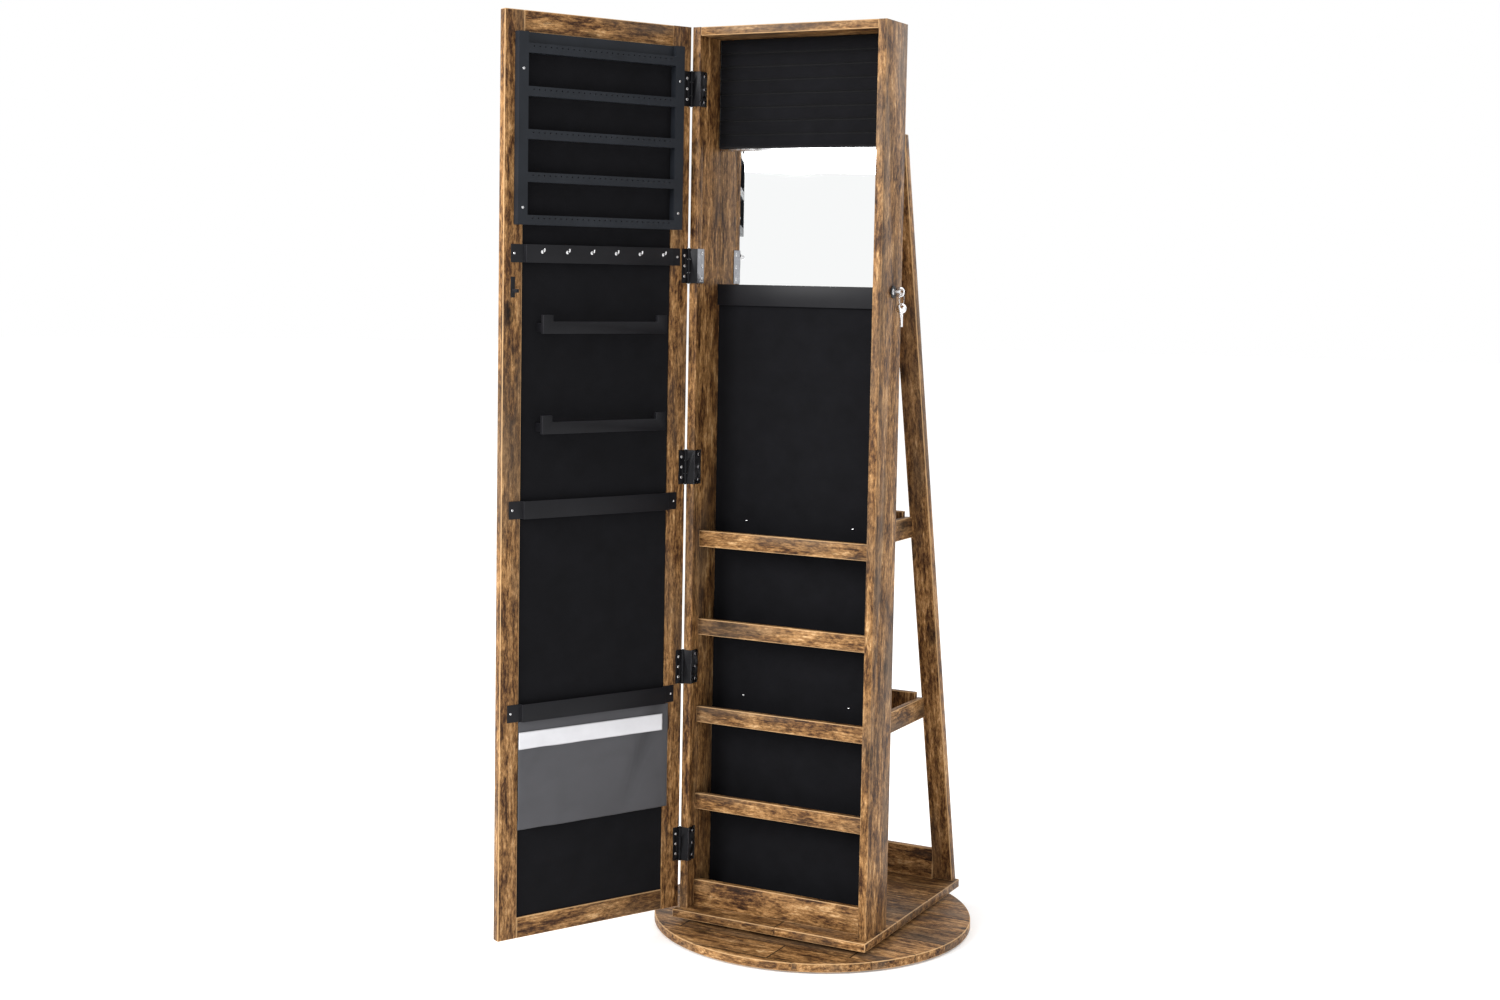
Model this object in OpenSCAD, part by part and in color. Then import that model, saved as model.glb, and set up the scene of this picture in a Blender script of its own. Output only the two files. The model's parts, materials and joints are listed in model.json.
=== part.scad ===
// Swivelling jewellery armoire: a shallow standing cabinet on a turning platform,
// with a fitted mirror door in front and a leaning shelf frame behind.
// Frame: +X to the right, +Y to the back, +Z up, origin under the middle of the base.

/* [Cabinet] */
// Outside width of the cabinet and of its door
cabinet_w = 366; // [330:1:450]
// Depth of the cabinet box from the front edges to the back
cabinet_d = 87; // [80:1:110]
// Height of the top of the cabinet above the floor
total_h = 1600; // [1560:1:1930]
// Thickness of the side, top and bottom boards
board_t = 15; // [12:0.5:18]
// Thickness of the back panel
back_t = 3; // [2.5:0.1:6]
// Thickness of the velvet lining board
lining_t = 1.5; // [1:0.1:3]
// How far the shelf lips stand behind the front edges
lip_recess = 22; // [18:1:26]

/* [Inside fittings] */
// Underside of the lowest shelf above the floor
shelf_z = 218; // [200:1:230]
// Distance from one shelf to the next
shelf_pitch = 158; // [130:1:160]
// Thickness of a shelf board
shelf_t = 9; // [6:0.5:12]
// Height of the wooden lip in front of a shelf
lip_h = 29; // [20:1:40]
// Thickness of the wooden lip
lip_t = 12; // [9:0.5:15]
// Height of the bottom rail in front of the bottom board
kick_h = 48; // [36:1:60]
// Underside of the necklace bar above the floor
necklace_z = 1120; // [1020:1:1122]
// Height of the necklace bar
necklace_h = 37; // [25:1:45]
// Thickness of the necklace bar
necklace_t = 6.5; // [4:0.5:10]
// Height of the inside mirror
inner_mirror_h = 234; // [180:1:240]
// Thickness of the inside mirror
inner_mirror_t = 4; // [3:0.5:6]
// Height of the metal strip above the inside mirror
trim_h = 5; // [3:0.5:8]
// Depth of the ring cushion
cushion_d = 16; // [12:0.5:24]
// Number of rolls in the ring cushion
roll_count = 8; // [5:1:12]

/* [Door] */
// Degrees that the door stands open
door_open = 116.5; // [90:0.5:170]
// Gap between the closed door and the cabinet
door_gap = 3; // [3:0.1:5]
// Thickness of the door frame
door_t = 16; // [14:0.5:20]
// Width of the two upright door frame members
stile_w = 36; // [30:1:45]
// Height of the top and bottom door frame members
door_rail_h = 36; // [30:1:45]
// Thickness of the full-length mirror glass
glass_t = 3; // [3:0.5:5]
// Gap between the door and the platform
door_lift = 2; // [1:0.5:5]
// How far the glass lies below the outer face of the door frame
glass_inset = 1; // [0.5:0.1:2]
// Thickness of the velvet-covered door panel
door_panel_t = 9; // [5:0.5:9]

/* [Door fittings] */
// Underside of the earring rack above the floor
rack_z = 1250; // [1240:1:1300]
// Distance from one earring strip to the next
rack_pitch = 70; // [55:0.5:72]
// Number of earring strips
rack_strips = 5; // [3:1:5]
// Height of an earring strip
strip_h = 16; // [10:0.5:22]
// Distance from the door edge to the rack at the hinge side
rack_margin = 22; // [20:1:30]
// How far the rack stands off the door frame
rack_depth = 14; // [8:0.5:20]
// Thickness of an earring strip
strip_t = 3; // [2:0.5:4]
// Width of the upright sides of the rack
rack_side_w = 18; // [10:1:22]
// Radius of an earring hole
ear_hole_r = 1.1; // [0.8:0.1:1.5]
// Number of earring holes in a row
ear_holes = 26; // [10:1:30]
// Height of the hook bar and of the two plain bars
bar_h = 30; // [20:1:36]
// Thickness of the bar metal
bar_t = 1.5; // [1.2:0.1:2]
// How far the bars stand off the door frame
bar_stand = 9; // [6:0.5:12]
// Underside of the hook bar above the floor
hook_bar_z = 1188; // [1175:1:1200]
// Underside of the middle plain bar above the floor
middle_bar_z = 761; // [720:1:800]
// Underside of the lower plain bar above the floor
lower_bar_z = 417; // [402:1:440]
// Number of hooks on the hook bar
hook_count = 6; // [3:1:6]
// Distance from the end of the hook bar to the first hook
hook_first = 40; // [34:1:60]
// Distance from one hook to the next
hook_pitch = 48; // [35:1:50]
// Radius of the hook wire
hook_r = 1.5; // [1:0.1:2]
// Length of the bracelet bars
bracelet_w = 245; // [200:1:260]
// Underside of the upper bracelet bar above the floor
bracelet_high_z = 1071; // [1010:1:1095]
// Underside of the lower bracelet bar above the floor
bracelet_low_z = 904; // [860:1:935]
// Height of a bracelet bar
bracelet_h = 20; // [14:1:26]
// Thickness of a bracelet bar
bracelet_t = 8; // [5:0.5:10]
// How far a bracelet bar stands off the door panel
bracelet_stand = 32; // [20:1:36]
// Height of the upturned ends of a bracelet bar
upturn_h = 11; // [6:1:16]
// Width of the upturned ends of a bracelet bar
upturn_w = 19; // [12:1:24]
// Height of the pouch
pouch_h = 188; // [140:1:200]
// Thickness of the pouch
pouch_t = 6; // [4:0.5:9]
// Distance from the door edge to the pouch
pouch_margin = 29; // [26:1:40]
// Height of the white closing band on the pouch
band_h = 30; // [16:1:36]

/* [Hinges] */
// Length of a hinge
hinge_h = 60; // [50:1:70]
// Outer radius of a hinge knuckle
knuckle_r = 3; // [2.8:0.1:3.4]
// Radius of a hinge pin
hinge_pin_r = 1.5; // [1.2:0.1:1.7]
// How far the hinge line stands outside the cabinet's side
pin_out = 1.1; // [1:0.1:3]
// Thickness of a hinge leaf
leaf_t = 1.2; // [1:0.1:1.2]
// Width of the leaf on the door
door_leaf_w = 13; // [10:1:16]
// Length of the leaf on the inner face of the side board
side_leaf_w = 24; // [16:1:30]
// Radius of a hinge screw
screw_r = 1.6; // [1.2:0.1:1.8]
// Length of a hinge screw
screw_l = 10; // [6:1:11]

/* [Lock] */
// Height of the lock above the floor
lock_z = 1150; // [1140:1:1154]
// Distance of the lock from the front edges
lock_y = 50; // [45:1:52]
// Radius of the lock barrel
barrel_r = 8; // [7:0.5:9]
// How far the lock barrel reaches past the inner face of the board
barrel_reach = 3.5; // [1:0.5:5]
// Length of the cam from the middle of the lock to its tip
cam_l = 45; // [44:0.5:46]
// Radius of the turning plug in the lock
plug_r = 5.5; // [4.5:0.5:6]
// Width of the key blade
key_blade_w = 6; // [5:0.5:7]
// Length of the key blade
key_blade_l = 22; // [16:1:22]
// Radius of the key bow
key_bow_r = 9; // [8:0.5:11]
// Thickness of a key
key_t = 2; // [1.6:0.1:2.2]
// Middle radius of the key ring
ring_r = 10; // [10:0.5:14]
// Radius of the ring wire
ring_wire_r = 0.8; // [0.6:0.1:0.9]

/* [Base] */
// Radius of the round base
base_r = 288; // [250:1:330]
// Thickness of the round base
base_t = 15; // [12:0.5:20]
// Height of the foot pads
pad_h = 3; // [2:0.5:5]
// Radius of a foot pad
pad_r = 14; // [8:1:20]
// Space between the base and the platform
bearing_h = 8; // [8:0.5:12]
// Thickness of the platform
platform_t = 15; // [12:0.5:20]
// How far the platform stands out past the cabinet sides
platform_side = 6; // [2:1:20]
// How far the platform stands out past the cabinet front
platform_front = 16; // [8:1:24]
// Distance from the base middle to the cabinet front
cabinet_front = 169; // [150:1:190]
// Distance from the base middle to the platform back
platform_back = 248; // [220:1:290]

/* [Rear frame] */
// Width of a leg
leg_w = 38; // [28:1:44]
// Thickness of a leg
leg_t = 18; // [12:0.5:21]
// Height of the top of the legs above the floor
leg_top_z = 1417; // [1300:1:1440]
// How far the leg top stands out behind the cabinet
leg_seat = 14; // [10:0.5:17]
// Shelf side fence height
fence_h = 38; // [25:1:50]
// Fence and rear rail thickness
fence_t = 12; // [9:0.5:15]
// Thickness of a rear shelf
rear_shelf_t = 12; // [9:0.5:15]
// Underside of the upper rear shelf above the floor
rear_high_z = 709; // [650:1:760]
// Underside of the lower rear shelf above the floor
rear_low_z = 366; // [300:1:420]
// How far the rear rails stand above the side fences
rail_rise = 10; // [0:1:20]
// Height of the rail between the feet of the legs
foot_rail_h = 58; // [40:1:80]

/* [Hidden] */

wood = "#8a6440";
velvet = "#1b1b1d";
black_metal = "#2b2c30";
steel = "#b9bbc0";
glass = "#d5dde0";
grey_film = "#58585c";

fine = 64;
medium = 32;
small = 20;
run_fit = 0.05;

// Heights
base_top = pad_h + base_t;
platform_z = base_top + bearing_h;
cabinet_z = platform_z + platform_t;
roof_z = total_h - board_t;

// Swivel bearing: two pressed plates with a ring of balls between them
ball_r = 2.6;
ball_ring = 92;
bearing_w = 230;
plate_t = 2;
plate_hole = 150;
race_gap = 0.1;
ball_count = 24;
bearing_mid = base_top + bearing_h / 2;
plate_screw_at = bearing_w / 2 - 14;

// Cabinet box
inside_w = cabinet_w - 2 * board_t;
front_y = -cabinet_front;
back_y = front_y + cabinet_d;
panel_y = back_y - back_t;
lining_y = panel_y - lining_t;
lip_y = front_y + lip_recess;
shelf_y = lip_y + lip_t;
mirror_z = necklace_z + necklace_h;
trim_z = mirror_z + inner_mirror_h;
cushion_z = trim_z + trim_h;

// Hinge line: the pin stands in the corner outside the door gap
knuckle_room = 0.4;
pin_x = -cabinet_w / 2 - pin_out;
pin_y = front_y - door_gap / 2;
hinge_zs = [for (f = [0.932, 0.7357, 0.5093, 0.2807, 0.0748]) cabinet_z + f * (total_h - cabinet_z)];
knuckle_part = 0.3;
knuckle_gap = 0.3;
side_screws = [0.13, 0.5, 0.87];
door_screw_places = [0.2, 0.5, 0.8];

// Door, drawn closed with the pin axis as its origin
door_in_y = -door_gap / 2;
door_out_y = door_in_y - door_t;
door_low = cabinet_z + door_lift;
door_h = total_h - door_low;
panel_in_y = door_out_y + glass_inset + glass_t + door_panel_t;
opening_w = cabinet_w - 2 * stile_w;
opening_z = door_low + door_rail_h;
opening_h = door_h - 2 * door_rail_h;
rack_w = cabinet_w - 2 * rack_margin + 3;
rack_top = total_h - door_rail_h;
bar_tab = 14;
bar_left = 17;
bar_w = cabinet_w - bar_left - bar_tab;
film_t = 0.6;

// Lock
lock_front = front_y + lock_y;
board_out_x = cabinet_w / 2;
board_in_x = board_out_x - board_t;
flange_t = 1.5;
flange_r = barrel_r + 2.5;
plug_face = 0.5;
cam_t = 2;
cam_w = 9;
cam_x = board_in_x - barrel_reach - 0.5 - cam_t;
tooth_l = 12;
tooth_w = 4;
bow_gap = 2;
blade_x = board_out_x + flange_t + bow_gap;
bow_x = blade_x + key_bow_r;
bow_hole_r = 3;
ring_x = bow_x + key_bow_r - bow_hole_r - 2.2;
ring_z = lock_z - bow_hole_r + ring_wire_r + 0.35;
ring_low_z = ring_z - 2 * ring_r;
slot_clear = 0.15;

// Rear frame: the back face of the legs runs from the platform's back up to the cabinet
leg_lean = (platform_back - 3 - back_y - leg_seat) / (leg_top_z - cabinet_z);
fence_x = cabinet_w / 2 - leg_w - fence_t + 5;

function leg_back(z) = platform_back - 3 - (z - cabinet_z) * leg_lean;
function leg_front(z) = leg_back(z) - leg_t;

module box(x, y, z, w, d, h) {
    translate([x, y, z]) cube([w, d, h]);
}

// Places a part of the door at the angle that the door stands open
module on_door() {
    translate([pin_x, pin_y, 0]) rotate([0, 0, -door_open]) children();
}

module base_disc() {
    color(wood) translate([0, 0, pad_h]) cylinder(h = base_t, r = base_r, $fn = 128);
}

module foot_pads() {
    color("#26262a") {
        cylinder(h = pad_h, r = pad_r, $fn = medium);
        for (a = [30 : 60 : 330]) rotate([0, 0, a]) translate([base_r - 2 * pad_r, 0, 0])
            cylinder(h = pad_h, r = pad_r, $fn = medium);
    }
}

module bearing_plate(z, seat_z) {
    difference() {
        union() {
            box(-bearing_w / 2, -bearing_w / 2, z, bearing_w, bearing_w, plate_t);
            translate([0, 0, min(z, seat_z)])
                cylinder(h = abs(seat_z - z) + (seat_z > z ? 0 : plate_t), r = ball_ring + 7, $fn = fine);
        }
        translate([0, 0, z - bearing_h]) cylinder(h = 3 * bearing_h, r = plate_hole / 2, $fn = fine);
        translate([0, 0, bearing_mid]) rotate_extrude($fn = fine)
            translate([ball_ring, 0]) circle(r = ball_r + race_gap, $fn = medium);
        for (x = [-1, 1], y = [-1, 1]) translate([x * plate_screw_at, y * plate_screw_at, z - 1])
            cylinder(h = plate_t + 2, r = screw_r + run_fit, $fn = small);
    }
}

module bearing_lower_plate() {
    color(steel) bearing_plate(base_top, bearing_mid - 1);
}

module bearing_upper_plate() {
    color(steel) bearing_plate(platform_z - plate_t, bearing_mid + 1);
}

module bearing_lower_screws() {
    color(steel) for (x = [-1, 1], y = [-1, 1])
        translate([x * plate_screw_at, y * plate_screw_at, base_top]) {
            cylinder(h = plate_t, r = screw_r, $fn = small);
            translate([0, 0, plate_t]) cylinder(h = 1.2, r = 2 * screw_r, $fn = small);
        }
}

module ball_cage() {
    color("#d8d8d2") difference() {
        translate([0, 0, bearing_mid - 0.6]) cylinder(h = 1.2, r = ball_ring + 5, $fn = fine);
        translate([0, 0, bearing_mid - 1]) cylinder(h = 2, r = ball_ring - 5, $fn = fine);
        for (i = [0 : ball_count - 1]) rotate([0, 0, i * 360 / ball_count])
            translate([ball_ring, 0, bearing_mid - 1]) cylinder(h = 2, r = ball_r + race_gap, $fn = small);
    }
}

module bearing_balls() {
    color(steel) for (i = [0 : ball_count - 1]) rotate([0, 0, i * 360 / ball_count])
        translate([ball_ring, 0, bearing_mid]) sphere(r = ball_r, $fn = small);
}

module platform() {
    color(wood) box(-cabinet_w / 2 - platform_side, front_y - platform_front, platform_z,
        cabinet_w + 2 * platform_side, platform_back - front_y + platform_front, platform_t);
}

// Screw holes in the inner face of the left board
module side_screw_holes(extra) {
    for (z = hinge_zs, f = side_screws)
        translate([-inside_w / 2 + leaf_t, front_y + side_leaf_w / 2 + 3, z + (f - 0.5) * hinge_h])
            rotate([0, -90, 0]) cylinder(h = screw_l, r = screw_r + extra, $fn = small);
}

module left_board() {
    color(wood) difference() {
        box(-cabinet_w / 2, front_y, cabinet_z, board_t, cabinet_d, total_h - cabinet_z);
        side_screw_holes(0);
        translate([pin_x, pin_y, 0]) knuckle_notches(true);
    }
}

module right_board() {
    color(wood) difference() {
        box(board_in_x, front_y, cabinet_z, board_t, cabinet_d, total_h - cabinet_z);
        translate([board_in_x - 1, lock_front, lock_z]) rotate([0, 90, 0])
            cylinder(h = board_t + 2, r = barrel_r, $fn = medium);
    }
}

module top_board() {
    color(wood) box(-inside_w / 2, front_y, roof_z, inside_w, cabinet_d - back_t, board_t);
}

module bottom_board() {
    color(wood) box(-inside_w / 2, shelf_y, cabinet_z, inside_w, lining_y - shelf_y, board_t);
}

module bottom_rail() {
    color(wood) box(-inside_w / 2, lip_y, cabinet_z, inside_w, lip_t, kick_h);
}

module back_panel() {
    color(wood) box(-inside_w / 2, panel_y, cabinet_z, inside_w, back_t, total_h - cabinet_z);
}

module velvet_lining() {
    color(velvet) box(-inside_w / 2, lining_y, cabinet_z, inside_w, lining_t, roof_z - cabinet_z);
}

// Row of soft rolls with a slot between each two
module ring_cushion() {
    gap = 0.4;
    room = roof_z - cushion_z - 2 * gap;
    pitch = room / roll_count;
    roll_r = pitch * 0.48;
    color(velvet) intersection() {
        translate([-inside_w / 2 + gap, lining_y - gap, cushion_z + gap]) rotate([90, 0, 90])
            linear_extrude(inside_w - 2 * gap) union() {
                translate([-cushion_d / 2, 0]) square([cushion_d / 2, room]);
                for (i = [0 : roll_count - 1]) translate([-cushion_d + roll_r, (i + 0.5) * pitch])
                    circle(r = roll_r, $fn = small);
            }
        box(-inside_w / 2, lining_y - gap - 2 * cushion_d, cushion_z, inside_w, 2 * cushion_d,
            roof_z - cushion_z);
    }
}

module inner_mirror() {
    color(glass) box(-inside_w / 2, lining_y - inner_mirror_t, mirror_z, inside_w, inner_mirror_t,
        inner_mirror_h);
}

module mirror_trim() {
    color(steel) box(-inside_w / 2, lining_y - inner_mirror_t - 2, trim_z, inside_w,
        inner_mirror_t + 2, trim_h);
}

module necklace_bar() {
    color(black_metal) box(-inside_w / 2, lining_y - necklace_t, necklace_z, inside_w, necklace_t,
        necklace_h);
}

module shelf(i) {
    color(velvet) box(-inside_w / 2, shelf_y, shelf_z + i * shelf_pitch, inside_w, lining_y - shelf_y,
        shelf_t);
}

// Room for the hinge leaves on the inner face of the left board
module side_leaf_room() {
    clear = 0.3;
    for (z = hinge_zs) translate([pin_x, pin_y, 0])
        box(pin_out + board_t - clear, -clear, z - hinge_h / 2 - clear, leaf_t + 2 * clear,
            door_gap / 2 - leaf_t + side_leaf_w + 2 * clear, hinge_h + 2 * clear);
}

module shelf_lip(i) {
    color(wood) difference() {
        box(-inside_w / 2, lip_y, shelf_z + i * shelf_pitch, inside_w, lip_t, lip_h);
        side_leaf_room();
    }
}

// Leg drawn as its side outline, cut flat where it lies against the cabinet
module rear_leg(side) {
    color(wood) difference() {
        translate([side > 0 ? cabinet_w / 2 - leg_w : -cabinet_w / 2, 0, 0]) rotate([90, 0, 90])
            linear_extrude(leg_w) polygon([[leg_front(cabinet_z), cabinet_z],
                [leg_back(cabinet_z), cabinet_z], [leg_back(leg_top_z), leg_top_z],
                [leg_front(leg_top_z), leg_top_z]]);
        box(-cabinet_w, back_y - cabinet_d, cabinet_z, 2 * cabinet_w, cabinet_d, total_h);
    }
}

module rear_shelf(z) {
    color(wood) box(-fence_x, back_y, z, 2 * fence_x, leg_front(z + fence_h + rail_rise) - fence_t - back_y,
        rear_shelf_t);
}

module side_fences(z) {
    color(wood) for (x = [-fence_x - fence_t, fence_x]) translate([x, 0, 0]) rotate([90, 0, 90])
        linear_extrude(fence_t) polygon([[back_y, z], [leg_front(z), z],
            [leg_front(z + fence_h), z + fence_h], [back_y, z + fence_h]]);
}

module rear_shelf_rails() {
    color(wood) for (z = [rear_high_z, rear_low_z]) {
        top = z + fence_h + rail_rise;
        box(-fence_x, leg_front(top) - fence_t, z, 2 * fence_x, fence_t, fence_h + rail_rise);
    }
}

module rear_foot_rail() {
    inner = cabinet_w / 2 - leg_w;
    color(wood) box(-inner, leg_front(cabinet_z) - fence_t / 2, cabinet_z, 2 * inner, fence_t, foot_rail_h);
}

// Knuckles of one leaf: the cabinet holds the two ends, the door the middle
module knuckles(z, middle) {
    low = z - hinge_h / 2;
    part = hinge_h * knuckle_part;
    spans = middle ? [[low + part + knuckle_gap, hinge_h - 2 * part - 2 * knuckle_gap]]
        : [[low, part], [low + hinge_h - part, part]];
    for (s = spans) translate([0, 0, s[0]]) one_knuckle(s[1], middle);
}

module one_knuckle(h, middle) {
    side = middle ? -1 : 1;
    cylinder(h = h, r = knuckle_r, $fn = medium);
    translate([0, side > 0 ? door_gap / 2 - leaf_t : -door_gap / 2, 0]) 
        cube([knuckle_r + knuckle_room + 0.4, leaf_t, h]);
}

// Room round the knuckles, cut out of a leaf
module knuckle_round(z) {
    translate([0, 0, z - hinge_h]) cylinder(h = 2 * hinge_h, r = knuckle_r + knuckle_room, $fn = medium);
}

// Notches for the knuckles in the corner of a board: behind the hinge line, or in front of it
module knuckle_notches(behind) {
    reach = knuckle_r + knuckle_room;
    for (z = hinge_zs) translate([-reach, behind ? 0 : -reach, z - hinge_h / 2 - 1 - knuckle_room])
        cube([2 * reach, reach, hinge_h + 2 + 2 * knuckle_room]);
}

module cabinet_hinge_leaves() {
    color(black_metal) for (z = hinge_zs) difference() {
        translate([pin_x, pin_y, 0]) union() {
            knuckles(z, false);
            difference() {
                box(pin_out, door_gap / 2 - leaf_t, z - hinge_h / 2, board_t + leaf_t, leaf_t, hinge_h);
                knuckle_round(z);
            }
            box(pin_out + board_t, door_gap / 2 - leaf_t, z - hinge_h / 2, leaf_t, side_leaf_w, hinge_h);
        }
        translate([pin_x, pin_y, z - hinge_h])
            cylinder(h = 2 * hinge_h, r = hinge_pin_r + run_fit, $fn = medium);
        side_screw_holes(0);
    }
}

module hinge_pins() {
    color(steel) translate([pin_x, pin_y, 0]) for (z = hinge_zs) translate([0, 0, z - hinge_h / 2]) {
        cylinder(h = hinge_h, r = hinge_pin_r, $fn = medium);
        translate([0, 0, hinge_h]) cylinder(h = 1, r = hinge_pin_r + 1, $fn = medium);
        translate([0, 0, -1]) cylinder(h = 1, r = hinge_pin_r + 1, $fn = medium);
    }
}

module cabinet_screws() {
    head = 0.8;
    color(steel) {
        side_screw_holes(0);
        for (z = hinge_zs, f = side_screws)
            translate([-inside_w / 2 + leaf_t, front_y + side_leaf_w / 2 + 3, z + (f - 0.5) * hinge_h])
                rotate([0, 90, 0]) cylinder(h = head, r = 2 * screw_r, $fn = small);
        for (x = [-1, 1], i = [1, 3]) translate([x * inside_w * 0.31, lining_y,
            shelf_z + i * shelf_pitch + lip_h + 16]) rotate([90, 0, 0]) cylinder(h = head, r = 2, $fn = small);
        for (x = [-1, 1], y = [-1, 1])
            translate([x * plate_screw_at, y * plate_screw_at, platform_z - plate_t - 1.2]) {
                cylinder(h = 1.2, r = 2 * screw_r, $fn = small);
                cylinder(h = 1.2 + plate_t, r = screw_r, $fn = small);
            }
    }
}

module lock_barrel() {
    color(black_metal) translate([0, lock_front, lock_z]) rotate([0, 90, 0]) difference() {
        union() {
            translate([0, 0, board_in_x - barrel_reach])
                cylinder(h = board_t + barrel_reach, r = barrel_r, $fn = medium);
            translate([0, 0, board_out_x]) cylinder(h = flange_t, r = flange_r, $fn = medium);
        }
        translate([0, 0, board_in_x - barrel_reach - 1])
            cylinder(h = board_t + flange_t + barrel_reach + 2, r = plug_r + run_fit, $fn = medium);
    }
}

// Flat slot for the key blade through the middle of the plug
module keyway(clear) {
    box(blade_x - key_blade_l - clear, lock_front - key_t / 2 - clear, lock_z - key_blade_w / 2 - clear,
        key_blade_l + 2 * bow_gap, key_t + 2 * clear, key_blade_w + 2 * clear);
}

module lock_plug() {
    color(steel) difference() {
        translate([cam_x + cam_t, lock_front, lock_z]) rotate([0, 90, 0])
            cylinder(h = board_out_x + flange_t - plug_face - cam_x - cam_t, r = plug_r, $fn = medium);
        keyway(slot_clear);
    }
}

// Cam on the inner end of the plug, upright while the lock is open, with a tooth at its tip
module lock_cam() {
    color(steel) translate([cam_x, lock_front, lock_z]) {
        rotate([0, 90, 0]) cylinder(h = cam_t, r = cam_w / 2 + 2, $fn = medium);
        box(0, -cam_w / 2, 0, cam_t, cam_w, cam_l);
        box(0, -tooth_l, cam_l - tooth_w, cam_t, tooth_l, tooth_w);
    }
}

// Key lying along +X with its flat faces to the front and back
module key_shape(bow, tip, hole_at) {
    rotate([90, 0, 0]) translate([0, 0, -key_t / 2]) linear_extrude(key_t) difference() {
        union() {
            translate([bow, 0]) circle(r = key_bow_r, $fn = medium);
            translate([tip, -key_blade_w / 2]) square([bow - tip - key_bow_r / 2, key_blade_w]);
        }
        translate([hole_at, 0]) circle(r = bow_hole_r, $fn = medium);
        for (i = [0 : 2]) translate([tip + 3 + i * 5, key_blade_w / 2]) circle(r = 1.2, $fn = small);
    }
}

module key() {
    color(steel) translate([0, lock_front, lock_z]) key_shape(bow_x, blade_x - key_blade_l, ring_x);
}

module key_ring() {
    color(steel) translate([ring_x, lock_front, ring_z - ring_r]) rotate([0, 90, 0])
        rotate_extrude($fn = fine) translate([ring_r, 0]) circle(r = ring_wire_r, $fn = small);
}

module spare_key() {
    drop = key_bow_r - bow_hole_r - 2.2;
    hole_z = ring_low_z - bow_hole_r + ring_wire_r + 0.35;
    color(steel) translate([ring_x, lock_front, hole_z]) rotate([0, -90, 0])
        key_shape(-drop, -drop - key_bow_r - key_blade_l, 0);
}

module door_stile_hinge() {
    color(wood) on_door() difference() {
        box(pin_out, door_out_y, door_low, stile_w, door_t, door_h);
        door_screw_shafts();
        knuckle_notches(false);
    }
}

module door_stile_free() {
    color(wood) on_door() box(pin_out + cabinet_w - stile_w, door_out_y, door_low, stile_w, door_t, door_h);
}

module door_rail(z) {
    color(wood) on_door() box(pin_out + stile_w, door_out_y, z, opening_w, door_t, door_rail_h);
}

module door_mirror() {
    color(glass) on_door() box(pin_out + stile_w, door_out_y + glass_inset, opening_z, opening_w, glass_t,
        opening_h);
}

module door_panel() {
    color(velvet) on_door() box(pin_out + stile_w, door_out_y + glass_inset + glass_t, opening_z, opening_w,
        door_panel_t, opening_h);
}

// Rack: a shallow frame on the door with five strips of earring holes
module earring_rack() {
    hole_pitch = (rack_w - 2 * rack_side_w - 20) / (ear_holes - 1);
    color(black_metal) on_door() translate([pin_out + rack_margin, door_in_y, 0]) difference() {
        union() {
            for (x = [0, rack_w - rack_side_w])
                box(x, 0, rack_z, rack_side_w, rack_depth, rack_top - rack_z);
            for (i = [0 : rack_strips - 1]) {
                z = rack_z + i * rack_pitch;
                box(rack_side_w, rack_depth - strip_t, z, rack_w - 2 * rack_side_w, strip_t, strip_h);
                box(rack_side_w, 2, z, rack_w - 2 * rack_side_w, rack_depth - 2, strip_t);
            }
            band_z = rack_z + (rack_strips - 1) * rack_pitch + strip_h;
            box(rack_side_w, 2, band_z, rack_w - 2 * rack_side_w, strip_t, rack_top - band_z);
        }
        for (i = [0 : rack_strips - 1], j = [0 : ear_holes - 1])
            translate([rack_side_w + 10 + j * hole_pitch, rack_depth + 1,
                rack_z + i * rack_pitch + strip_h - 5]) rotate([90, 0, 0])
                cylinder(h = strip_t + 2, r = ear_hole_r, $fn = small);
    }
}

// Bar of bent flat metal: a tab on each stile and a raised middle
module bent_bar(z) {
    inner = stile_w - bar_left + 4;
    outer = bar_w - (stile_w - bar_tab) - 4;
    translate([pin_out + bar_left, door_in_y, z]) linear_extrude(bar_h)
        polygon([[0, 0], [inner, 0], [inner, bar_stand - bar_t], [outer, bar_stand - bar_t], [outer, 0],
            [bar_w, 0], [bar_w, bar_t], [outer + bar_t, bar_t], [outer + bar_t, bar_stand],
            [inner - bar_t, bar_stand], [inner - bar_t, bar_t], [0, bar_t]]);
}

module hook_bar() {
    color(black_metal) on_door() bent_bar(hook_bar_z);
}

module plain_bars() {
    color(black_metal) on_door() for (z = [middle_bar_z, lower_bar_z]) bent_bar(z);
}

// Hook: a short peg with an upturned tip
module bar_hooks() {
    first = pin_out + bar_left + hook_first;
    reach = 9;
    color(steel) on_door() for (i = [0 : hook_count - 1])
        translate([first + i * hook_pitch, door_in_y + bar_stand, hook_bar_z + bar_h * 0.6]) {
            rotate([-90, 0, 0]) cylinder(h = reach, r = hook_r, $fn = small);
            translate([0, reach - hook_r, 0]) cylinder(h = 6, r = hook_r, $fn = small);
            rotate([-90, 0, 0]) cylinder(h = 1, r = 2 * hook_r, $fn = small);
        }
}

module bracelet_bar(z) {
    bar_y = panel_in_y + bracelet_stand - bracelet_t;
    translate([pin_out + (cabinet_w - bracelet_w) / 2, 0, z]) {
        box(0, bar_y, 0, bracelet_w, bracelet_t, bracelet_h);
        for (x = [0, bracelet_w - upturn_w]) {
            box(x, bar_y, bracelet_h, upturn_w, bracelet_t, upturn_h);
            box(x + 5, panel_in_y, 3, upturn_w - 10, bracelet_stand - bracelet_t, bracelet_h - 6);
        }
    }
}

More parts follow.
